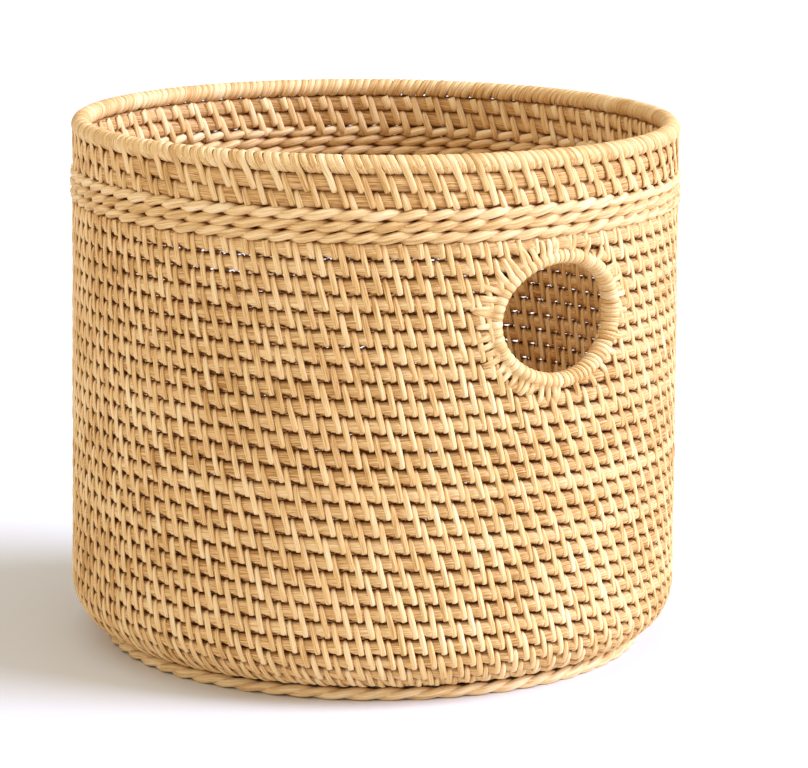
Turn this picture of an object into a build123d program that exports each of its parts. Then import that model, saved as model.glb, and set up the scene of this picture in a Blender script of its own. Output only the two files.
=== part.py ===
"""Round, open-top storage basket of coiled rattan, in millimetres.

The basket stands on Z = 0 with its centre line on the Z axis, and its two round grip
holes face +X and -X. One core cane after another is stacked to make the base and the
wall, three twisted ropes make a band under the rim, a wrapped rim closes the top, and
each grip hole has a wrapped ring. Every piece is a closed solid in a file of its own.
"""

import os
from math import cos, pi, sin

from build123d import *

# Driving dimensions
HEIGHT = 344.0
WALL_RADIUS = 198.0  # outer face of the wall's coils
WALL_THICKNESS = 10.0
COIL_BULGE = 1.6  # how far a coil's middle stands out from where it meets its neighbours
COIL_PITCH = 10.7  # height of one coil of the wall
WALL_COILS = 26
CORNER_RADIUS = 32.0  # outer radius of the bend between wall and base
BASE_LIFT = 8.0  # underside of the base above the floor

BAND_ROPES = 3
BAND_ROPE_HEIGHT = 6.9
BAND_OUTSET = 2.0  # how far the band stands out from the wall
UPPER_COILS = 2
UPPER_COIL_HEIGHT = 10.4

RIM_DIAMETER = 12.0  # over its wrapping
RIM_CORE_DIAMETER = 8.4

FOOT_RADIUS = 173.0  # centre line of the foot rope
FOOT_DIAMETER = 8.6
FOOT_FLAT = 0.5  # how much of the rope's round underside is worn flat

BASE_COILS = 17
BUTTON_RADIUS = 6.0  # start of the base spiral

GRIP_HEIGHT = 239.0  # centre of both grip holes
GRIP_WIDTH = 82.0
GRIP_DEPTH = 68.0
GRIP_RING = 10.0  # width of the wrapped ring, from the hole outwards
GRIP_RING_OUTSET = 1.5  # how far the ring stands out from both faces of the wall
GRIP_WRAP = 1.8  # thickness of the ring's wrapping
GRIP_EDGE = 3.5  # rounding of the ring's edges

CUT_CLEARANCE = 20.0  # how far a cutting shape runs past what it cuts

# Worked out from the driving dimensions
RIM_CENTRE_Z = HEIGHT - RIM_DIAMETER / 2
MID_WALL_RADIUS = WALL_RADIUS - WALL_THICKNESS / 2
UPPER_TOP = HEIGHT - RIM_DIAMETER
BAND_TOP = UPPER_TOP - UPPER_COILS * UPPER_COIL_HEIGHT
COILS_TOP = BAND_TOP - BAND_ROPES * BAND_ROPE_HEIGHT
CORNER_X = WALL_RADIUS - CORNER_RADIUS
CORNER_Z = BASE_LIFT + CORNER_RADIUS
STRAIGHT = COILS_TOP - CORNER_Z
CORNER_ARC = CORNER_RADIUS * pi / 2
PROFILE = STRAIGHT + CORNER_ARC + CORNER_X
BASE_PITCH = (PROFILE - WALL_COILS * COIL_PITCH - BUTTON_RADIUS) / BASE_COILS


def on_profile(distance, depth):
    """Point at a distance down the outer profile and a depth into the wall, as (x, z)."""
    if distance <= STRAIGHT:
        return WALL_RADIUS - depth, COILS_TOP - distance
    if distance <= STRAIGHT + CORNER_ARC:
        angle = (distance - STRAIGHT) / CORNER_RADIUS
        reach = CORNER_RADIUS - depth
        return CORNER_X + reach * cos(angle), CORNER_Z - reach * sin(angle)
    return CORNER_X - (distance - STRAIGHT - CORNER_ARC), BASE_LIFT + depth


def at(point):
    """A point of the section plane, y = 0, from (x, z)."""
    return (point[0], 0, point[1])


def turned(edges):
    """The ring that a closed outline in the section plane sweeps about the Z axis."""
    return revolve(make_face(edges), Axis.Z, 360)


def coil(start, end):
    """One coil between two distances down the profile, bulged on both of its free sides."""
    middle = (start + end) / 2
    outer_start = at(on_profile(start, COIL_BULGE))
    outer_end = at(on_profile(end, COIL_BULGE))
    inner_start = at(on_profile(start, WALL_THICKNESS - COIL_BULGE))
    inner_end = at(on_profile(end, WALL_THICKNESS - COIL_BULGE))
    return turned(
        [
            ThreePointArc(outer_start, at(on_profile(middle, 0)), outer_end),
            Line(outer_end, inner_end),
            ThreePointArc(inner_end, at(on_profile(middle, WALL_THICKNESS)), inner_start),
            Line(inner_start, outer_start),
        ]
    )


def level_ring(bottom, top, inner, outer, bulge):
    """A level ring with flat top and bottom, bulged on its outer and inner sides."""
    middle = (bottom + top) / 2
    return turned(
        [
            Line((inner + bulge, 0, top), (outer - bulge, 0, top)),
            ThreePointArc((outer - bulge, 0, top), (outer, 0, middle), (outer - bulge, 0, bottom)),
            Line((outer - bulge, 0, bottom), (inner + bulge, 0, bottom)),
            ThreePointArc((inner + bulge, 0, bottom), (inner, 0, middle), (inner + bulge, 0, top)),
        ]
    )


def hoop(radius, height, diameter):
    """A round-section hoop about the Z axis."""
    section = Plane.XZ * Pos(radius, height) * Circle(diameter / 2)
    return revolve(section, Axis.Z, 360)


def rim_parts():
    """The rim's core cane and the wrapping around it."""
    core = hoop(MID_WALL_RADIUS, RIM_CENTRE_Z, RIM_CORE_DIAMETER)
    outside = hoop(MID_WALL_RADIUS, RIM_CENTRE_Z, RIM_DIAMETER)
    return {"rim_core": core, "rim_wrap": outside - core}


def upper_parts():
    """The coils between band and rim: the top one is hollowed to seat the rim."""
    inner = WALL_RADIUS - WALL_THICKNESS
    seat = hoop(MID_WALL_RADIUS, RIM_CENTRE_Z, RIM_DIAMETER)
    parts = {}
    for index in range(UPPER_COILS):
        top = UPPER_TOP - index * UPPER_COIL_HEIGHT
        bottom = top - UPPER_COIL_HEIGHT
        if index == 0:
            top += COIL_BULGE
        ring = level_ring(bottom, top, inner, WALL_RADIUS, COIL_BULGE)
        parts[f"upper_coil_{index + 1}"] = ring - seat
    return parts


def band_parts():
    """The three twisted ropes below the upper coils, as plain rings."""
    inner = WALL_RADIUS - WALL_THICKNESS - BAND_OUTSET / 2
    outer = WALL_RADIUS + BAND_OUTSET
    parts = {}
    for index in range(BAND_ROPES):
        top = BAND_TOP - index * BAND_ROPE_HEIGHT
        rope = level_ring(top - BAND_ROPE_HEIGHT, top, inner, outer, COIL_BULGE)
        parts[f"band_rope_{index + 1}"] = rope
    return parts


def grip_tube(margin, side):
    """The space within a margin around one grip hole's outline, through the wall."""
    outline = Ellipse(GRIP_WIDTH / 2 + margin, GRIP_DEPTH / 2 + margin)
    start = Plane.YZ.offset(side * (WALL_RADIUS - WALL_THICKNESS - CUT_CLEARANCE))
    return extrude(start * Pos(0, GRIP_HEIGHT) * outline, side * (WALL_THICKNESS + 2 * CUT_CLEARANCE))


def wall_shell(outset):
    """The wall's cylinder around the grip holes, thickened by outset on both faces."""
    height = GRIP_DEPTH + 2 * GRIP_RING + CUT_CLEARANCE
    outer = Cylinder(WALL_RADIUS + outset, height)
    inner = Cylinder(WALL_RADIUS - WALL_THICKNESS - outset, height)
    return Pos(0, 0, GRIP_HEIGHT) * (outer - inner)


def grip_parts():
    """Each grip hole's ring: a core hoop bent to the wall, inside its wrapping."""
    core_shell = wall_shell(GRIP_RING_OUTSET - GRIP_WRAP)
    wrap_shell = wall_shell(GRIP_RING_OUTSET)
    parts = {}
    for name, side in (("right", 1), ("left", -1)):
        core_space = grip_tube(GRIP_RING - GRIP_WRAP, side) - grip_tube(GRIP_WRAP, side)
        core = core_shell & core_space
        ring = wrap_shell & (grip_tube(GRIP_RING, side) - grip_tube(0, side))
        long_edges = [edge for edge in ring.edges() if edge.length > GRIP_WIDTH]
        ring = fillet(long_edges, GRIP_EDGE)
        parts[f"grip_core_{name}"] = core
        parts[f"grip_wrap_{name}"] = ring - core
    return parts


def wall_parts(grips):
    """The wall's coils from the top down, cut away around both grips."""
    parts = {}
    for index in range(WALL_COILS):
        ring = coil(index * COIL_PITCH, (index + 1) * COIL_PITCH)
        parts[f"wall_coil_{index + 1:02d}"] = ring - grips
    return parts


def base_parts():
    """The base's coils from the corner inwards, and the button where the spiral starts."""
    parts = {}
    for index in range(BASE_COILS):
        start = WALL_COILS * COIL_PITCH + index * BASE_PITCH
        parts[f"base_coil_{index + 1:02d}"] = coil(start, start + BASE_PITCH)
    height = WALL_THICKNESS - 2 * COIL_BULGE
    button = Cylinder(BUTTON_RADIUS, height, align=(Align.CENTER, Align.CENTER, Align.MIN))
    parts["base_button"] = Pos(0, 0, BASE_LIFT + COIL_BULGE) * button
    return parts


def foot_part(corner_coils):
    """The foot rope that lifts the base, flat underneath and fitted to the coils above."""
    centre = FOOT_DIAMETER / 2 - FOOT_FLAT
    rope = hoop(FOOT_RADIUS, centre, FOOT_DIAMETER)
    below = Pos(0, 0, -FOOT_DIAMETER / 2) * Cylinder(2 * WALL_RADIUS, FOOT_DIAMETER)
    rope -= below
    for corner_coil in corner_coils:
        rope -= corner_coil
    return rope


def main():
    """Makes every piece and writes it to its own file."""
    grips = grip_tube(GRIP_RING, 1) + grip_tube(GRIP_RING, -1)
    base = base_parts()
    parts = {**rim_parts(), **upper_parts(), **band_parts(), **wall_parts(grips)}
    parts.update(grip_parts())
    parts.update(base)
    near_foot = [base[f"base_coil_{index:02d}"] for index in (1, 2, 3)]
    parts["foot_rope"] = foot_part(near_foot)
    os.makedirs("parts", exist_ok=True)
    for name, shape in parts.items():
        export_step(shape, f"parts/{name}.step")


main()
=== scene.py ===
"""The looks of a round storage basket of coiled, lashed rattan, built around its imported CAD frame.

Every turn of core cane, every lashing, the twisted ropes, the wrapped rim and the two wrapped
grip rings are real meshes. Lengths are in millimetres until mesh_piece() writes them in metres.
"""

import math

import bpy
import numpy as np
from mathutils import Matrix, Vector


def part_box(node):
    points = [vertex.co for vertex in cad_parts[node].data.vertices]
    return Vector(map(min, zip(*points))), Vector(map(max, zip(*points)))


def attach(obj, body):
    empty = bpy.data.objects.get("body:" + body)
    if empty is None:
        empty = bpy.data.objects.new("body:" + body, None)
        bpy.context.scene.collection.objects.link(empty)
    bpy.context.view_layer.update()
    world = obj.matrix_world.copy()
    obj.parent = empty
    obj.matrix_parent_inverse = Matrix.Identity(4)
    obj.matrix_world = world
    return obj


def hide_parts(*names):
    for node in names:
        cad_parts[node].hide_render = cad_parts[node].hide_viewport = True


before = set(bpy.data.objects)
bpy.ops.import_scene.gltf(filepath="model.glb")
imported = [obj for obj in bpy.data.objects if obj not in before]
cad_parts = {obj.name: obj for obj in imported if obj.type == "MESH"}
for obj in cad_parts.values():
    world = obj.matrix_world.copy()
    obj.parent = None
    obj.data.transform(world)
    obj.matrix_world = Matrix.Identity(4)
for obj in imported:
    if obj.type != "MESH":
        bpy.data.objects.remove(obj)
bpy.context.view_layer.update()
rng = np.random.default_rng(20)

MM = 0.001
TAU = 2 * math.pi


# ---------------------------------------------------------------- sizes read from the frame


def box_mm(node):
    """Lowest and highest corner of a CAD node, in millimetres."""
    low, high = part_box(node)
    return np.array(low) / MM, np.array(high) / MM


def level(node):
    """Bottom and top height of a CAD node, in millimetres."""
    low, high = box_mm(node)
    return low[2], high[2]


WALL_ROWS = sum(1 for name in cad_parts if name.startswith("wall_coil_"))
BASE_ROWS = sum(1 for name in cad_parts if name.startswith("base_coil_"))
WALL_RADIUS = box_mm("wall_coil_15")[1][0]
COILS_TOP = level("wall_coil_01")[1]
PITCH = COILS_TOP - level("wall_coil_01")[0]
BASE_LIFT = level("base_coil_10")[0]
WALL_THICKNESS = level("base_coil_10")[1] - BASE_LIFT
CORNER_RADIUS = 32.0  # outside the bend between wall and base
CORNER_X = WALL_RADIUS - CORNER_RADIUS
CORNER_Z = BASE_LIFT + CORNER_RADIUS
STRAIGHT = COILS_TOP - CORNER_Z
CORNER_ARC = CORNER_RADIUS * math.pi / 2
MID_RADIUS = WALL_RADIUS - WALL_THICKNESS / 2

RIM_BOTTOM, HEIGHT = level("rim_wrap")
RIM_RADIUS = (HEIGHT - RIM_BOTTOM) / 2
RIM_Z = HEIGHT - RIM_RADIUS
BAND_TOP = level("band_rope_1")[1]
UPPER_PITCH = (RIM_BOTTOM - BAND_TOP) / 2

GRIP_LOW, GRIP_HIGH = box_mm("grip_wrap_right")
GRIP_Z = (GRIP_LOW[2] + GRIP_HIGH[2]) / 2
GRIP_RING = 10.0  # width of the wrapped ring, from the hole outwards
GRIP_A = (GRIP_HIGH[1] - GRIP_LOW[1]) / 2 - GRIP_RING
GRIP_B = (GRIP_HIGH[2] - GRIP_LOW[2]) / 2 - GRIP_RING

# The weave: lashings to one turn of the wall and how they lie on it.
STITCHES = 93
STITCH_PITCH = TAU * WALL_RADIUS / STITCHES
ROW_SHIFT = 6.55  # each row's lashings start about this far to the right of the row above's
OUTER_LEAN = 5.0  # how far a lashing drifts sideways over its two rows
INNER_LEAN = 5.0
INNER_PHASE = -2.7  # an inner lashing's place beside the outer one that it carries on
STITCH_HALF_WIDTH = 1.72
STITCH_THICKNESS = 1.2
UPPER_STITCHES = 77
UPPER_STITCH_PITCH = TAU * WALL_RADIUS / UPPER_STITCHES

CROWDING = 0.067  # how much the lashings' spacing varies round the basket
LOOSEST_AT = math.radians(-61)
TAPER = 4.4e-5  # how much the wall draws in for each millimetre up, as a share of its radius
TAPER_FROM = 139.0


def bearing(turns):
    """Angle round the basket at a share of the full turn, where the weave is even by count."""
    angle = TAU * np.asarray(turns)
    return angle + CROWDING / 4 * np.sin(4 * (angle - LOOSEST_AT))


def row_start(index):
    """How far round a row's lashings start, in millimetres: the shift wavers down the wall."""
    return ROW_SHIFT * index + 2.2 * math.sin(0.3 * index - 1.2)


# ---------------------------------------------------------------- the wall as a surface


def round_axis(angle, reach, height):
    """Points at angles round the basket's axis, at a reach from it and a height."""
    return np.stack([reach * np.cos(angle), reach * np.sin(angle), height + 0 * angle], -1)


def profile(distance):
    """Radius, height, and the outward direction's two parts, at distances down the outer face."""
    distance = np.asarray(distance, float)
    bend = np.clip((distance - STRAIGHT) / CORNER_RADIUS, 0, math.pi / 2)
    radius = CORNER_X + CORNER_RADIUS * np.cos(bend)
    height = CORNER_Z - CORNER_RADIUS * np.sin(bend)
    height = height + np.where(distance < STRAIGHT, STRAIGHT - distance, 0)
    radius = radius - np.maximum(distance - STRAIGHT - CORNER_ARC, 0)
    return radius, height, np.cos(bend), -np.sin(bend)


def on_wall(angle, distance, out):
    """Points on the wall, and the outward directions there, from the angle round the basket,
    the distance down it and the height above its outer face."""
    angle, distance, out = np.broadcast_arrays(angle, distance, out)
    radius, height, along_r, along_z = profile(distance)
    points = round_axis(angle, radius + along_r * out, height + along_z * out)
    return points, round_axis(angle, along_r, along_z)


def in_grip(points, margin):
    """True for points within a margin around either grip hole's outline."""
    across = points[..., 1] / (GRIP_A + margin)
    up = (points[..., 2] - GRIP_Z) / (GRIP_B + margin)
    return across**2 + up**2 < 1


PAINTED_SHADE_DARKEST_AT = 1.5  # the shade painted between the canes is darkest within this depth, measured from the middle of the wall
PAINTED_SHADE_FADE = 2.4  # the painted shade fades over this much more, from there to full light


def painted_shade_openness(points):
    """Mask of the shade painted into the wall: 0 deep between its canes, where the painted shade is
    darkest, to 1 at either face.
    """
    radius = np.hypot(points[:, 0], points[:, 1])
    reach = np.hypot(np.maximum(radius - CORNER_X, 0), np.maximum(CORNER_Z - points[:, 2], 0))
    from_middle = abs(CORNER_RADIUS - WALL_THICKNESS / 2 - reach)
    return np.clip((from_middle - PAINTED_SHADE_DARKEST_AT) / PAINTED_SHADE_FADE, 0, 1)


# ---------------------------------------------------------------- mesh building

# A strip's section: crowned outside, flatter behind, in shares of its half-width and thickness.
PEEL = np.array([(-1, 0.0), (-0.86, 0.7), (0, 1), (0.86, 0.7), (1, 0.0), (0, -0.3)])


def ring_of(count, power=1.0):
    """A closed outline of count points, round for power 1 and boxier below it."""
    turn = np.arange(count) * TAU / count
    x, y = np.cos(turn), np.sin(turn)
    return np.stack([np.sign(x) * abs(x) ** power, np.sign(y) * abs(y) ** power], -1)


def unit(vectors):
    return vectors / np.maximum(np.linalg.norm(vectors, axis=-1, keepdims=True), 1e-9)


def tube_faces(strands, stations, points, closed):
    """Quads of a batch of tubes, capped at both ends unless they close on themselves."""
    spans = stations if closed else stations - 1
    i = np.arange(spans)[:, None]
    j = np.arange(points)[None, :]
    nxt_i = (i + 1) % stations
    nxt_j = (j + 1) % points
    here, ahead = i * points, nxt_i * points
    quads = np.stack([here + j, here + nxt_j, ahead + nxt_j, ahead + j], -1).reshape(-1, 4)
    if not closed:
        k = np.arange(points // 2 - 1)
        cap = np.stack([k, k + 1, points - 2 - k, points - 1 - k], -1)
        quads = np.concatenate([quads, cap[:, ::-1], cap + (stations - 1) * points])
    offsets = np.arange(strands) * stations * points
    return (quads[None] + offsets[:, None, None]).reshape(-1, 4)


def facing_out(vertices, quads):
    """The same quads, turned round if they face into the solid."""
    a, b, c, d = (vertices[quads[:, n]] for n in range(4))
    volume = np.einsum("ij,ij->i", a, np.cross(b, c) + np.cross(c, d)).sum()
    return quads if volume > 0 else quads[:, ::-1]


def strands(centres, normals, half_width, thickness, closed=False, outline=PEEL):
    """Strips of cane along centre lines: arrays of strands x stations x 3, lying flat to the normals."""
    count, stations = centres.shape[:2]
    if closed:
        tangents = np.roll(centres, -1, 1) - np.roll(centres, 1, 1)
    else:
        tangents = np.gradient(centres, axis=1)
    tangents = unit(tangents)
    across = unit(np.cross(tangents, normals))
    up = np.cross(across, tangents)
    half_width = np.broadcast_to(half_width, (count, stations))[..., None, None]
    thickness = np.broadcast_to(thickness, (count, stations))[..., None, None]
    a = outline[:, 0][None, None, :, None]
    b = outline[:, 1][None, None, :, None]
    vertices = centres[:, :, None] + a * half_width * across[:, :, None] + b * thickness * up[:, :, None]
    steps = np.linalg.norm(np.diff(centres, axis=1), axis=-1)
    along = np.concatenate([np.zeros((count, 1)), np.cumsum(steps, 1)], 1)
    fibre = np.zeros(vertices.shape)
    fibre[..., 0] = along[..., None]
    fibre[..., 1] = (a * half_width)[..., 0] + 0.35 * (b * thickness)[..., 0]
    fibre[..., 2] = rng.uniform(0, 1000, count)[:, None, None]
    flat = vertices.reshape(-1, 3)
    quads = facing_out(flat, tube_faces(count, stations, len(outline), closed))
    return flat, quads, fibre.reshape(-1, 3)


def mesh_piece(name, parts, material, replaces=(), in_wall=True):
    """One Blender object from a list of (vertices, quads, fibre) parts, riding on the basket.
    A piece in the wall gets shade painted into its colour between the canes."""
    vertices, quads, fibres, offset = [], [], [], 0
    for part_vertices, part_quads, part_fibre in parts:
        vertices.append(part_vertices)
        quads.append(part_quads + offset)
        fibres.append(part_fibre)
        offset += len(part_vertices)
    vertices, quads, fibres = (np.concatenate(x) for x in (vertices, quads, fibres))
    # painted shade: how deep between the canes each point lies, kept as a mask for the material
    light = painted_shade_openness(vertices) if in_wall else np.ones(len(vertices))
    vertices[:, :2] *= 1 - TAPER * (vertices[:, 2:] - TAPER_FROM)
    mesh = bpy.data.meshes.new(name)
    mesh.vertices.add(len(vertices))
    mesh.vertices.foreach_set("co", (vertices * MM).astype(np.float32).ravel())
    mesh.loops.add(quads.size)
    mesh.loops.foreach_set("vertex_index", quads.astype(np.int32).ravel())
    mesh.polygons.add(len(quads))
    mesh.polygons.foreach_set("loop_start", np.arange(0, quads.size, 4, dtype=np.int32))
    mesh.polygons.foreach_set("use_smooth", np.ones(len(quads), bool))
    mesh.update(calc_edges=True)
    mesh.validate()
    attribute = mesh.attributes.new("fibre", "FLOAT_VECTOR", "POINT")
    attribute.data.foreach_set("vector", fibres.astype(np.float32).ravel())
    attribute = mesh.attributes.new("painted_shade_open", "FLOAT", "POINT")
    attribute.data.foreach_set("value", light.astype(np.float32))
    mesh.materials.append(material)
    piece = bpy.data.objects.new(name, mesh)
    bpy.context.collection.objects.link(piece)
    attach(piece, "root")
    if replaces:
        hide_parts(*replaces)
    return piece


# ---------------------------------------------------------------- materials


class Nodes:
    """A short way to write a material's node tree."""

    def __init__(self, name):
        self.material = bpy.data.materials.new(name)
        self.material.use_nodes = True
        self.tree = self.material.node_tree
        self.shader = next(n for n in self.tree.nodes if n.type == "BSDF_PRINCIPLED")

    def add(self, kind, inputs=None, **settings):
        node = self.tree.nodes.new(kind)
        for key, value in settings.items():
            setattr(node, key, value)
        for key, value in (inputs or {}).items():
            self.feed(node.inputs[key], value)
        return node

    def feed(self, socket, value):
        if isinstance(value, bpy.types.NodeSocket):
            self.tree.links.new(value, socket)
        else:
            socket.default_value = value

    def math(self, operation, a, b=0.0, c=0.0):
        return self.add("ShaderNodeMath", {0: a, 1: b, 2: c}, operation=operation).outputs[0]

    def scaled(self, vector, scale):
        node = self.add("ShaderNodeVectorMath", {0: vector, 1: scale}, operation="MULTIPLY")
        return node.outputs[0]

    def noise(self, vector, scale, detail=2.0, roughness=0.5):
        inputs = {"Vector": vector, "Scale": scale, "Detail": detail, "Roughness": roughness}
        return self.add("ShaderNodeTexNoise", inputs).outputs["Fac"]

    def ramp(self, value, stops):
        node = self.add("ShaderNodeValToRGB", {"Fac": value})
        elements = node.color_ramp.elements
        while len(elements) < len(stops):
            elements.new(0.5)
        for element, (place, colour) in zip(elements, stops):
            element.position = place
            element.color = (*colour, 1)
        return node.outputs["Color"]

    def mix(self, factor, a, b, blend="MIX"):
        node = self.add("ShaderNodeMix", data_type="RGBA", blend_type=blend)
        for socket, value in zip(("Factor_Float", "A_Color", "B_Color"), (factor, a, b)):
            self.feed(next(s for s in node.inputs if s.identifier == socket), value)
        return next(s for s in node.outputs if s.identifier == "Result_Color")


PAINTED_SHADE_TINT = (0.30, 0.14, 0.035, 1)  # painted shade: the tint multiplied into the cane deep between its neighbours


def rattan(name, dark, mid, light, grain, roughness, bump):
    """Natural rattan: streaked along the cane, each strand its own tone, darker in patches, with shade
    painted in deep between the canes.
    """
    n = Nodes(name)
    fibre = n.add("ShaderNodeAttribute", attribute_name="fibre").outputs["Vector"]
    parts = n.add("ShaderNodeSeparateXYZ", {0: fibre})
    tone = n.add("ShaderNodeTexWhiteNoise", {"W": parts.outputs["Z"]}, noise_dimensions="1D")
    streaks = n.noise(n.scaled(fibre, (0.05, grain, 1.0)), 1.0, 4.0, 0.62)
    fine = n.noise(n.scaled(fibre, (0.09, grain * 2.6, 1.7)), 1.0, 3.0, 0.6)
    patches = n.noise(n.scaled(fibre, (0.045, 0.12, 0.9)), 1.0, 2.0, 0.5)
    position = n.add("ShaderNodeNewGeometry").outputs["Position"]
    weather = n.noise(position, 9.0, 2.0, 0.5)
    own_tone = n.math("SUBTRACT", tone.outputs["Value"], 0.5)
    own_weather = n.math("SUBTRACT", weather, 0.5)
    shade = n.math("MULTIPLY_ADD", streaks, 1.0 + 0.5 * bump, -0.42 - 0.4 * bump)
    shade = n.math("MULTIPLY_ADD", fine, 0.4 + 0.5 * bump, shade)
    shade = n.math("MULTIPLY_ADD", patches, 0.28, shade)
    shade = n.math("MULTIPLY_ADD", own_tone, 0.24, shade)
    shade = n.math("MULTIPLY_ADD", own_weather, 0.3, shade)
    colour = n.ramp(shade, [(0.16, dark), (0.45, mid), (0.8, light)])
    # Painted shade: darken the colour where the cane lies deep between its neighbours.
    painted_shade_free = n.add("ShaderNodeAttribute", attribute_name="painted_shade_open").outputs["Fac"]
    painted_shade = n.math("SUBTRACT", 1.0, painted_shade_free)
    colour = n.mix(painted_shade, colour, PAINTED_SHADE_TINT, blend="MULTIPLY")
    n.feed(n.shader.inputs["Base Color"], colour)
    n.feed(n.shader.inputs["Roughness"], n.math("MULTIPLY_ADD", fine, 0.25, roughness - 0.12))
    height = n.math("ADD", n.math("MULTIPLY", streaks, 0.6), n.math("MULTIPLY", fine, 0.4))
    inputs = {"Height": height, "Strength": bump, "Distance": 0.0006}
    n.feed(n.shader.inputs["Normal"], n.add("ShaderNodeBump", inputs).outputs["Normal"])
    n.shader.inputs["Specular IOR Level"].default_value = 0.2
    return n.material


CORE = rattan(
    "core_cane_rattan", dark=(0.33, 0.13, 0.022), mid=(0.70, 0.40, 0.14), light=(0.92, 0.66, 0.33),
    grain=1.4, roughness=0.62, bump=0.9,
)
PEEL_CANE = rattan(
    "binder_peel_rattan", dark=(0.46, 0.22, 0.05), mid=(0.80, 0.50, 0.20), light=(0.96, 0.77, 0.45),
    grain=1.2, roughness=0.5, bump=0.35,
)
ROPE = rattan(
    "twisted_cane_rattan", dark=(0.50, 0.26, 0.07), mid=(0.82, 0.54, 0.24), light=(0.96, 0.77, 0.47),
    grain=0.8, roughness=0.5, bump=0.3,
)

# ---------------------------------------------------------------- core canes


def window(phase, centre, half, pitch):
    """1 at a centre that repeats every pitch, falling smoothly to 0 a half-width away from it."""
    away = abs((phase - centre + pitch / 2) % pitch - pitch / 2)
    return (0.5 + 0.5 * np.cos(np.clip(away / half, 0, 1) * math.pi)) ** 0.7


CORE_OUTLINE = ring_of(12, 0.8)
CORE_HALF = 3.7  # half the core's thickness through the wall
CORE_DEPTH = 5.0  # its centre's depth below the wall's outer face
CELL_STEPS = np.array([0.8, 2.2, 4.3, 5.5, 7.1, 8.9, 10.7, 12.3])  # along a pitch, from a lashing
CELL_HALF = 5.2  # half the length of a bare stretch's pillow
TOP_MARGIN = 0.25  # how far a core stops short of its row's top
BOTTOM_MARGIN = 0.6  # and of its bottom, beside a lashing's foot
GAP_FROM = 4.3  # where the gap under a bare cell is widest
GAP_LENGTH = 9.6


def core_ring(top, row_pitch, count, pitch, start, outer_cell, inner_cell, bulge, gap, skip=None):
    """One turn of core cane, pillowed between its lashings and hanging lower towards each one's
    foot. start is the row's phase, and the cells are the bare stretches' centres after it."""
    stretch = pitch / STITCH_PITCH
    local = np.tile(CELL_STEPS * stretch, count)
    number = np.repeat(np.arange(count), len(CELL_STEPS))
    turns = (number + (start + local) / pitch) / count
    angle = bearing(turns)
    half = CELL_HALF * stretch
    outer = bulge * window(local, outer_cell, half, pitch)
    inner = bulge * window(local, inner_cell, half, pitch)
    wander = 0.22 * np.sin(angle * 7 + top) + 0.15 * np.sin(angle * 17 + 2 * top)
    fall = 1 - np.clip((local - GAP_FROM * stretch) % pitch / (GAP_LENGTH * stretch), 0, 1)
    x, y = CORE_OUTLINE[:, 0], CORE_OUTLINE[:, 1]
    depth = x[None] * CORE_HALF + np.where(x > 0, outer[:, None], -inner[:, None]) * abs(x)[None] ** 0.6
    low = row_pitch / 2 - BOTTOM_MARGIN - gap * fall**1.4 + rng.normal(0, 0.12, len(local))
    down = np.where(y > 0, low[:, None], row_pitch / 2 - TOP_MARGIN) * y[None]
    distance = top + row_pitch / 2 + down + wander[:, None] * 0.3
    vertices, _ = on_wall(angle[:, None], distance, depth - CORE_DEPTH)
    fibre = np.zeros(vertices.shape)
    fibre[..., 0] = (turns * count * pitch)[:, None]
    fibre[..., 1] = down + 0.5 * depth
    fibre[..., 2] = rng.uniform(0, 1000)
    return cut_ring(vertices, fibre, skip)


def cut_ring(vertices, fibre, skip):
    """A ring's mesh, or the arcs that stay where the middle of its section isn't in a grip."""
    samples, points = vertices.shape[:2]
    gone = np.zeros(samples, bool) if skip is None else in_grip(vertices.mean(1), skip)
    if not gone.any():
        flat = vertices.reshape(-1, 3)
        return [(flat, facing_out(flat, tube_faces(1, samples, points, True)), fibre.reshape(-1, 3))]
    first = int(np.flatnonzero(gone & ~np.roll(gone, -1))[0]) + 1
    order = (np.arange(samples) + first) % samples
    kept = ~gone[order]
    edges = np.flatnonzero(np.diff(np.concatenate([[0], kept.astype(int), [0]])))
    parts = []
    for begin, end in zip(edges[::2], edges[1::2]):
        run = order[begin:end]
        flat = vertices[run].reshape(-1, 3)
        faces = facing_out(flat, tube_faces(1, len(run), points, False))
        parts.append((flat, faces, fibre[run].reshape(-1, 3)))
    return parts


# ---------------------------------------------------------------- lashings

OVER_TWO_ROWS = np.array([
    # share of the way down, height above the outer face, share of the width
    (0.026, -5.0, 0.62), (0.029, -3.6, 0.68), (0.045, -2.7, 0.80), (0.09, -2.0, 0.94),
    (0.18, -1.5, 1.06), (0.33, -1.05, 1.12), (0.5, -0.75, 1.12), (0.66, -0.65, 1.12),
    (0.78, -0.7, 1.12), (0.862, -0.8, 1.1), (0.892, -1.0, 1.08), (0.904, -1.7, 1.04),
    (0.908, -2.9, 0.96), (0.910, -4.8, 0.86),
])
INNER_STATIONS = [0, 2, 3, 4, 6, 8, 9, 11, 13]  # the same bends with fewer points, for the inside


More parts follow.
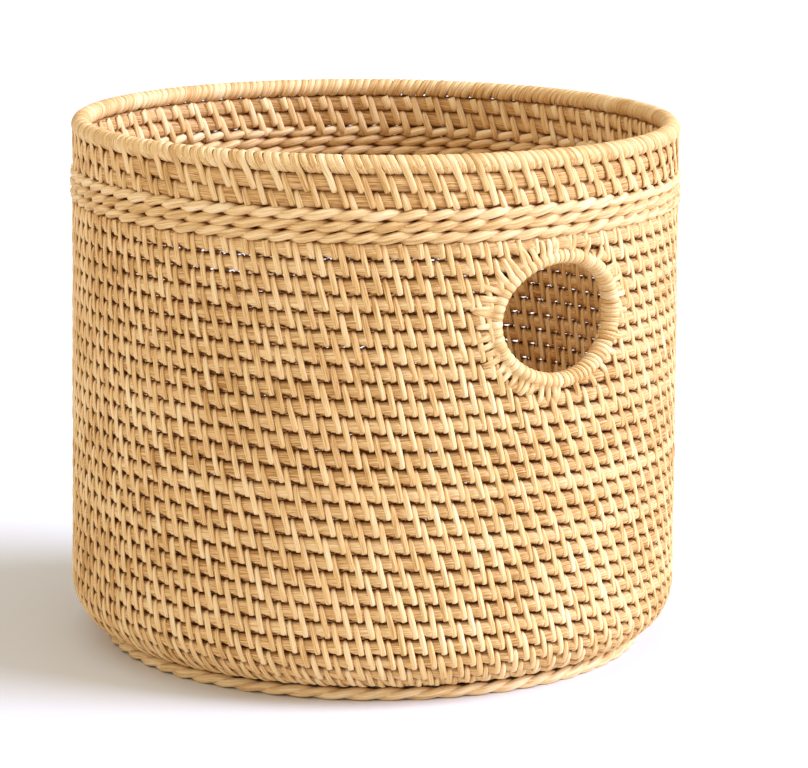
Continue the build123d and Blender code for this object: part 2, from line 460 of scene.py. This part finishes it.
def lashings(top, span, count, pitch, start, lean, side, low=0.0, high=1.0, skip=None, wide=1.0):
    """One row of lashings over span of the wall, or from its share low to its share high.
    side is 1 on the wall's outside and -1 on its inside."""
    table = OVER_TWO_ROWS if side > 0 else OVER_TWO_ROWS[INNER_STATIONS]
    share, height, width = table[(table[:, 0] >= low) & (table[:, 0] <= high)].T
    number = np.arange(count)[:, None]
    jitter = rng.normal(0, 0.28, (count, 1))
    tilt = rng.normal(0, 0.5, (count, 1))
    proud = rng.normal(0, 0.1, (count, 1))
    drift = lean * share + tilt * (share - 0.5) + jitter
    angle = bearing((number + (start + drift) / pitch) / count)
    distance = top + span * share + rng.normal(0, 0.15, (count, 1))
    out = height + proud
    if side < 0:
        out = -WALL_THICKNESS - out
    points, normals = on_wall(angle, distance, out)
    width = width * rng.normal(1, 0.06, (count, 1))
    if skip is not None:
        keep = ~in_grip(points[:, 3:-3], skip).any(1)
        points, normals, width = points[keep], normals[keep], width[keep]
    if len(points) == 0:
        return []
    return [strands(points, normals * side, STITCH_HALF_WIDTH * wide * width, STITCH_THICKNESS)]


# ---------------------------------------------------------------- the wall and the base

row_tops = [index * PITCH for index in range(WALL_ROWS)]
ROW_GAP = 1.5  # the gap under a bare stretch, at its widest
OUTER_CELL = 7.8  # from a lashing's start to the middle of the bare stretch after it, outside
INNER_CELL = 9.4  # and inside
CELL_BULGE = 1.75
FIRST_ROW_TUCK = 0.9  # how far the first row reaches up under the band
CORE_STOP = GRIP_RING - 3.5  # the cores end inside the grip's ring, this far from the hole
LASHING_STOP = GRIP_RING - 2.0
base_length = STRAIGHT + CORNER_ARC + CORNER_X - WALL_ROWS * PITCH - box_mm("base_button")[1][0]
BASE_PITCH = base_length / BASE_ROWS
row_tops += [WALL_ROWS * PITCH + index * BASE_PITCH for index in range(BASE_ROWS)]


def row_stitches(index):
    """Lashings in one turn of a row: the same all down the wall, fewer towards the base's centre."""
    if index < WALL_ROWS + 2:
        return STITCHES
    radius = float(profile(row_tops[index] + BASE_PITCH / 2)[0])
    return max(6, round(TAU * radius / STITCH_PITCH))


def build_rows():
    """The core cane's turns and their lashings, from under the band to the base's centre."""
    total = WALL_ROWS + BASE_ROWS
    for index in range(total):
        wall = index < WALL_ROWS
        node = f"wall_coil_{index + 1:02d}" if wall else f"base_coil_{index - WALL_ROWS + 1:02d}"
        tuck = FIRST_ROW_TUCK if index == 0 else 0.0
        pitch = PITCH if wall else BASE_PITCH
        parts = core_ring(
            row_tops[index] - tuck, pitch + tuck, row_stitches(index), STITCH_PITCH, row_start(index),
            OUTER_CELL, INNER_CELL, CELL_BULGE, ROW_GAP, skip=CORE_STOP,
        )
        mesh_piece(node.replace("coil", "cane"), parts, CORE, [node])
    for index in range(-1, total):
        wall = index < WALL_ROWS
        pitch = PITCH if wall else BASE_PITCH
        top = row_tops[index] if index >= 0 else -PITCH
        span = 2 * pitch if index < total - 1 else pitch
        low = 0.45 if index < 0 else 0.0
        count = row_stitches(max(index, 0))
        start = row_start(index)
        inner_start = start + INNER_PHASE + INNER_LEAN
        row = (top, span, count, STITCH_PITCH)
        parts = lashings(*row, start, OUTER_LEAN, 1, low=low, skip=LASHING_STOP)
        parts += lashings(*row, inner_start, -INNER_LEAN, -1, low=low, skip=LASHING_STOP)
        name = f"wall_lashing_{index + 2:02d}" if wall else f"base_lashing_{index - WALL_ROWS + 1:02d}"
        mesh_piece(name, parts, PEEL_CANE)


def button():
    """The knot of cane at the base's centre, where the spiral starts."""
    low, high = box_mm("base_button")
    turns, stations = 2.6, 60
    share = np.linspace(0, 1, stations)
    angle = share * turns * TAU
    radius = 0.6 + share * (high[0] - 1.6)
    centres = round_axis(angle, radius, (low[2] + high[2]) / 2)
    normals = np.broadcast_to((0.0, 0.0, 1.0), centres.shape)
    part = strands(centres[None], normals[None], 1.25, 3.6, outline=ring_of(8))
    mesh_piece("base_button_cane", [part], CORE, ["base_button"])


# ---------------------------------------------------------------- upper rows, band, foot and rim

UPPER_TOP = COILS_TOP - RIM_BOTTOM  # the upper rows' distance down the wall: it is above the coils
UPPER_TUCK = 0.8  # how far an upper row reaches up under its neighbour
UPPER_GROWN = 1.7  # how much taller it is than its pitch for that, above and below
UPPER_OUTER_CELL = 7.6
UPPER_INNER_CELL = 11.0
UPPER_BULGE = 0.9
UPPER_GAP = 0.5
RIM_STRIP = 1.3  # thickness of the rim's strips
RIM_STRIP_SUNK = 1.15  # how much of it lies inside the rim's outer size
SHORT_WRAP_HALF = UPPER_STITCH_PITCH / 6 * 0.99  # half-width: three wraps all but fill a pitch
LONG_IN_RIM = 5.9  # how far the long lashing drifts sideways down the rim
LONG_BELOW = 4.3  # and down the first upper row
NEXT_STRIP = 4.2  # from one set of upper lashings to the next, beside it
UPPER_LEAN = 7.6
UPPER_INNER_PHASE = 6.0
LONG_TAIL = np.array([
    # down from the rim's bottom, height above the outer face
    (-1.2, -0.9), (-3.2, -0.7), (-6.0, -0.6), (-8.4, -0.75), (-9.3, -1.1), (-9.7, -1.8),
    (-9.8, -3.0), (-9.85, -5.0),
])


def upper_rows():
    """The two wider-lashed rows between band and rim."""
    for index in range(2):
        start = LONG_IN_RIM + (index + 1) * NEXT_STRIP + index * UPPER_LEAN / 2
        top = UPPER_TOP + index * UPPER_PITCH
        parts = core_ring(
            top - UPPER_TUCK, UPPER_PITCH + UPPER_GROWN, UPPER_STITCHES, UPPER_STITCH_PITCH, start,
            UPPER_OUTER_CELL, UPPER_INNER_CELL, UPPER_BULGE, UPPER_GAP,
        )
        mesh_piece(f"upper_cane_{index + 1}", parts, CORE, [f"upper_coil_{index + 1}"])


def rim():
    """The rim's close wrapping: of each three turns, one runs on down the wall as a long lashing."""
    tube = RIM_RADIUS - RIM_STRIP_SUNK
    number = np.arange(UPPER_STITCHES * 3)
    short = number[number % 3 != 0][:, None]
    turn = np.linspace(0, TAU, 16, endpoint=False)[None, :]
    jitter = rng.normal(0, 0.14, short.shape)
    drift = LONG_IN_RIM * (1 - np.sin(turn)) / 2 + jitter
    angle = bearing((short / 3 + drift / UPPER_STITCH_PITCH) / UPPER_STITCHES)
    reach = MID_RADIUS + tube * np.cos(turn)
    height = RIM_Z + tube * np.sin(turn)
    centres = round_axis(angle, reach, height)
    out = round_axis(angle, np.cos(turn), np.sin(turn))
    parts = [strands(centres, out, SHORT_WRAP_HALF, RIM_STRIP, closed=True)]

    # The long ones start under the rim inside the basket, and go over its top and down its outside.
    turn = np.radians(np.arange(235, -35, -20.0))
    down, lift = LONG_TAIL.T
    below = np.ones(len(down))
    reach = np.concatenate([MID_RADIUS + tube * np.cos(turn), WALL_RADIUS + lift])
    height = np.concatenate([RIM_Z + tube * np.sin(turn), RIM_BOTTOM + down])
    out_r = np.concatenate([np.cos(turn), below])
    out_z = np.concatenate([np.sin(turn), 0 * below])
    number = np.arange(UPPER_STITCHES)[:, None]
    jitter = rng.normal(0, 0.2, number.shape)
    in_rim = LONG_IN_RIM * np.clip((HEIGHT - height) / (HEIGHT - RIM_BOTTOM), 0, 1)
    under = LONG_BELOW * np.clip((RIM_BOTTOM - height) / UPPER_PITCH, 0, 1)
    angle = bearing((number + (in_rim + under + jitter) / UPPER_STITCH_PITCH) / UPPER_STITCHES)
    centres = round_axis(angle, reach, height)
    normals = unit(round_axis(angle, out_r, out_z))
    width = np.interp(height - RIM_BOTTOM, [-8, 1, 5], [2.15, 2.3, 2.75]) + 0 * angle
    parts.append(strands(centres, normals, width, RIM_STRIP))
    mesh_piece("rim_wrapping", parts, PEEL_CANE, ["rim_wrap"], in_wall=False)


def upper_lashings():
    """The lashings of the upper rows: first row to second, second to the band, and those inside."""
    second = LONG_IN_RIM + NEXT_STRIP
    third = second + UPPER_LEAN / 2 + NEXT_STRIP
    inner = second + UPPER_INNER_PHASE
    size = (2 * UPPER_PITCH, UPPER_STITCHES, UPPER_STITCH_PITCH)
    parts = lashings(UPPER_TOP, *size, second, UPPER_LEAN, 1, wide=1.1)
    parts += lashings(UPPER_TOP + UPPER_PITCH, *size, third, UPPER_LEAN, 1, high=0.55, wide=1.15)
    for row in (-1, 0, 1):
        top = UPPER_TOP + row * UPPER_PITCH
        start = inner + row * (UPPER_LEAN / 2 + NEXT_STRIP)
        low, high = (0.45, 1.0) if row < 0 else (0.0, 1.0 if row == 0 else 0.85)
        parts += lashings(top, *size, start, -UPPER_LEAN, -1, low=low, high=high, wide=1.3)
    mesh_piece("upper_lashing", parts, PEEL_CANE)


def rim_core():
    """The cane inside the rim, just under its wrapping."""
    low, high = box_mm("rim_core")
    half = (high[2] - low[2]) / 2
    angle = np.linspace(0, TAU, 360, endpoint=False)
    centres = round_axis(angle, MID_RADIUS, RIM_Z)
    normals = np.broadcast_to((0.0, 0.0, 1.0), centres.shape)
    part = strands(centres[None], normals[None], half, half, closed=True, outline=ring_of(10))
    mesh_piece("rim_core_cane", [part], CORE, ["rim_core"])


ROPE_DEPTHS = {"band_rope": 13.0, "foot_rope": 8.6}  # from each ring's inner to its outer side
STRAND_HEIGHT = 0.68  # a strand's share of its rope's height
BAND_LAP = 1.3  # how much taller the band's ropes are than their pitch: they bed into each other


def rope(name, node, twists, share, start, lap=1.0):
    """A ring of two strands twisted about each other, filling a CAD ring's section.
    share is how much of the section's half-depth one strand's own half-depth is."""
    low, high = box_mm(node)
    half_height = (high[2] - low[2]) / 2 * lap
    outer = high[0]
    half_depth = ROPE_DEPTHS[node[:9]] / 2
    rise = 0.0 if node == "foot_rope" else 0.35  # the foot rope lies level on the floor
    middle = (low[2] + high[2]) / 2
    angle = np.linspace(0, TAU, twists * 12, endpoint=False)
    parts = []
    for half_turn in (0, 1):
        turn = twists * angle + half_turn * math.pi + start + 0.35 * np.sin(angle * 5 + start)
        wave = 0.3 * np.sin(angle * 7 + start + half_turn) + 0.25 * np.sin(angle * 16 + 2 * start)
        reach = outer - half_depth + (1 - share) * half_depth * np.cos(turn) + wave * 0.3
        z = middle + (1 - STRAND_HEIGHT) * half_height * np.sin(turn) + wave * rise
        centres = round_axis(angle, reach, z)
        normals = round_axis(angle, 1.0, 0.0)
        size = 1.02 + 0.05 * np.sin(angle * 9 + half_turn * 2 + start)
        width = STRAND_HEIGHT * half_height * size[None]
        depth = share * half_depth * size[None]
        parts.append(strands(centres[None], normals[None], width, depth, True, ring_of(10, 0.9)))
    mesh_piece(name, parts, ROPE, [node])


def ropes():
    """The three ropes of the band and the one underfoot."""
    for index in range(3):
        rope(f"band_twist_{index + 1}", f"band_rope_{index + 1}", 36, 0.6, index * 2.3, BAND_LAP)
    rope("foot_twist", "foot_rope", 30, 0.62, 0.0)


# ---------------------------------------------------------------- grip holes


def around_grip(turn, side, outward, out):
    """Points near a grip hole, from the turn round it, how far outward from its edge and how far
    out from the wall's middle. turn is 0 on the right and half a turn on the left, seen from
    outside. Returns the points, the wall's outward directions and those away from the hole."""
    turn, outward, out = np.broadcast_arrays(turn, outward, out)
    y = (GRIP_A + outward) * np.cos(turn)
    z = GRIP_Z + (GRIP_B + outward) * np.sin(turn)
    angle = np.arcsin(y / MID_RADIUS)
    points = round_axis(angle, MID_RADIUS + out, z)
    normal = round_axis(angle, 1.0, 0.0)
    away_y, away_z = np.cos(turn) / GRIP_A, np.sin(turn) / GRIP_B
    size = np.hypot(away_y, away_z)
    away_y, away_z = away_y / size, away_z / size
    away = np.stack([-away_y * np.sin(angle), away_y * np.cos(angle), away_z], -1)
    if side < 0:
        flip = np.array([-1.0, -1.0, 1.0])
        points, normal, away = points * flip, normal * flip, away * flip
    return points, normal, away


GRIP_WRAPS = 68  # turns of strip round each grip's ring
WRAP_UNEVEN = 0.24  # how much wider spaced the wraps are on the left, as a share
WRAP_HALF = 0.53  # a wrap's half-width, as a share of its spacing
RING_MIDDLE = GRIP_RING / 2
RING_ACROSS = 4.0  # half-width of the wrapping's path in the wall's plane
RING_THROUGH = 5.3  # and through the wall
# A long wrap's way round the ring's section, from the outer face by way of the hole to the inner.
LONG_WRAP_TURNS = np.radians([40, 65, 90, 115, 140, 165, 180, 195, 220, 245, 270, 295, 320])
LEAST_REACH, MOST_REACH = 3.5, 7.0  # how far the long wraps run on over the wall
LEFT_REACH = 2.5  # and how much further on the left
UPPER_LEFT_REACH = 7.0  # and again at the upper left
UPPER_LEFT = math.radians(140)
GRIP_LASHING = np.array([
    # share of its length beyond the ring, height above the wall's middle, half-width
    (1.0, 0.0, 1.3), (0.99, 2.6, 1.5), (0.93, 4.0, 1.65), (0.7, 4.6, 1.8), (0.3, 4.9, 1.9),
])


def wrap_turns(count):
    """Where the ring's wraps sit round its ellipse, and each one's spacing."""
    fine = np.linspace(0, TAU, 721)
    x, y = (GRIP_A + RING_MIDDLE) * np.cos(fine), (GRIP_B + RING_MIDDLE) * np.sin(fine)
    steps = np.hypot(np.diff(x), np.diff(y)) / (1 - WRAP_UNEVEN * np.cos(fine[:-1]))
    run = np.concatenate([[0], np.cumsum(steps)])
    turns = np.interp(np.arange(count) / count * run[-1], run, fine)
    return turns, run[-1] / count * (1 - WRAP_UNEVEN * np.cos(turns))


def grip(name, side):
    """One grip hole's ring: its close wrapping, and the lashings that tie it to the wall."""
    turns, spacing = wrap_turns(GRIP_WRAPS)
    number = np.arange(GRIP_WRAPS)
    leftness = (1 - np.cos(turns)) / 2
    lash = (number % 3 == 0) | (leftness > 0.55)
    around = np.linspace(0, TAU, 14, endpoint=False)[None]
    short = turns[~lash][:, None] + 0.012 * np.sin(around) + rng.normal(0, 0.006, (sum(~lash), 1))
    outward = RING_MIDDLE - RING_ACROSS * np.cos(around)
    points, normal, away = around_grip(short, side, outward, RING_THROUGH * np.sin(around))
    facing = unit(-np.cos(around)[..., None] * away + np.sin(around)[..., None] * normal)
    width = spacing[~lash][:, None] * WRAP_HALF * (1 - 0.10 * np.cos(around))
    parts = [strands(points, facing, width, 1.15, closed=True)]

    count = sum(lash)
    turn = turns[lash][:, None]
    upper_left = np.exp(-(((turn - UPPER_LEFT) / 0.45) ** 2))
    length = rng.uniform(LEAST_REACH, MOST_REACH, (count, 1))
    length = length + UPPER_LEFT_REACH * upper_left * rng.uniform(0.3, 1, (count, 1))
    length = length + LEFT_REACH * leftness[lash][:, None]
    ring_turn = LONG_WRAP_TURNS
    ring_outward = RING_MIDDLE + RING_ACROSS * np.cos(ring_turn)
    share, front, end_width = GRIP_LASHING.T
    ends = GRIP_RING + length * share
    outward = np.concatenate([ends, ring_outward + 0 * length, ends[:, ::-1]], 1)
    out = np.concatenate([front, RING_THROUGH * np.sin(ring_turn), -front[::-1]]) + 0 * length
    far = np.clip((outward - 6) / 16, 0, 1)
    swung = turn + rng.normal(0, 0.05, (count, 1)) * far
    points, normal, away = around_grip(swung, side, outward, out)
    edge = len(front)
    ring_face = np.cos(ring_turn)[None, :, None] * away[:, edge:-edge]
    ring_face = unit(ring_face + np.sin(ring_turn)[None, :, None] * normal[:, edge:-edge])
    facing = np.concatenate([normal[:, :edge], ring_face, -normal[:, -edge:]], 1)
    ring_width = spacing[lash][:, None] * WRAP_HALF * (1 + 0.1 * np.cos(ring_turn))
    width = np.concatenate([end_width + 0 * length, ring_width, end_width[::-1] + 0 * length], 1)
    parts.append(strands(points, facing, width, 1.25))
    replaced = [f"grip_wrap_{name}"]
    mesh_piece(f"grip_wrapping_{name}", parts, PEEL_CANE, replaced, in_wall=False)

    turn = np.linspace(0, TAU, 120, endpoint=False)
    points, normal, _ = around_grip(turn, side, RING_MIDDLE, 0.0)
    part = strands(points[None], normal[None], 3.9, 5.7, closed=True, outline=ring_of(10))
    mesh_piece(f"grip_core_cane_{name}", [part], CORE, [f"grip_core_{name}"])


# ---------------------------------------------------------------- stage


def soft_sun(name, place, strength, spread, colour):
    """A soft studio light from one direction, as wide as spread degrees."""
    data = bpy.data.lights.new(name, "SUN")
    data.energy = strength
    data.angle = math.radians(spread)
    data.color = colour
    lamp = bpy.data.objects.new(name, data)
    lamp.rotation_mode = "QUATERNION"
    lamp.rotation_quaternion = (-Vector(place)).to_track_quat("-Z", "Y")
    bpy.context.collection.objects.link(lamp)


CAMERA_TURN = math.radians(-35.9)  # direction of the camera from the basket's centre
CAMERA_AWAY = 2.314
CAMERA_UP = 0.642
CAMERA_PITCH = math.radians(11.65)
CAMERA_YAW = math.radians(0.486)
CAMERA_ROLL = math.radians(0.497)
CAMERA_LENS = 159.6


def camera():
    """The camera: a long lens, a little above the rim, with one grip hole to its right."""
    data = bpy.data.cameras.new("camera")
    data.lens = CAMERA_LENS
    data.sensor_width = 36.0
    data.clip_start, data.clip_end = 0.05, 50
    cam = bpy.data.objects.new("camera", data)
    bpy.context.collection.objects.link(cam)
    bpy.context.scene.camera = cam
    heading = CAMERA_TURN + math.pi - CAMERA_YAW
    level_ahead = Vector((math.cos(heading), math.sin(heading), 0))
    right = Vector((math.sin(heading), -math.cos(heading), 0))
    ahead = level_ahead * math.cos(CAMERA_PITCH) - Vector((0, 0, math.sin(CAMERA_PITCH)))
    up = right.cross(ahead)
    rolled_right = right * math.cos(CAMERA_ROLL) + up * math.sin(CAMERA_ROLL)
    rolled_up = up * math.cos(CAMERA_ROLL) - right * math.sin(CAMERA_ROLL)
    turn = Matrix((rolled_right, rolled_up, -ahead)).transposed().to_4x4()
    place = (CAMERA_AWAY * math.cos(CAMERA_TURN), CAMERA_AWAY * math.sin(CAMERA_TURN), CAMERA_UP)
    cam.matrix_world = Matrix.Translation(place) @ turn


def from_camera(right, ahead, up):
    """A place given to the right of, ahead of and above the basket's centre, as the camera sees it."""
    heading = CAMERA_TURN + math.pi
    x = math.cos(heading) * ahead + math.sin(heading) * right
    y = math.sin(heading) * ahead - math.cos(heading) * right
    return x, y, up


def stage():
    """A pale floor, a pale sky and soft panels: the main one from the right and above."""
    mesh = bpy.data.meshes.new("floor")
    half = 12.0
    corners = [(-half, -half, 0), (half, -half, 0), (half, half, 0), (-half, half, 0)]
    mesh.from_pydata(corners, [], [(0, 1, 2, 3)])
    floor = bpy.data.objects.new("floor", mesh)
    bpy.context.collection.objects.link(floor)
    n = Nodes("pale_floor")
    n.shader.inputs["Base Color"].default_value = (0.78, 0.76, 0.71, 1)
    n.shader.inputs["Roughness"].default_value = 0.9
    mesh.materials.append(n.material)
    world = bpy.data.worlds.new("pale_studio")
    world.use_nodes = True
    background = next(node for node in world.node_tree.nodes if node.type == "BACKGROUND")
    background.inputs["Color"].default_value = (1.0, 0.985, 0.96, 1)
    background.inputs["Strength"].default_value = 0.55
    bpy.context.scene.world = world
    soft_sun("key", from_camera(1.0, -0.12, 0.6), 4.6, 38, (0.92, 1.01, 1.42))
    soft_sun("overhead", from_camera(0.0, -0.3, 1.0), 0.35, 70, (1.0, 0.99, 0.97))
    soft_sun("fill", from_camera(-0.8, -0.7, 0.6), 0.85, 80, (1.0, 0.94, 0.84))
    bpy.context.scene.view_settings.view_transform = "Standard"


build_rows()
button()
upper_rows()
rim()
rim_core()
upper_lashings()
ropes()
grip("right", 1)
grip("left", -1)
stage()
camera()
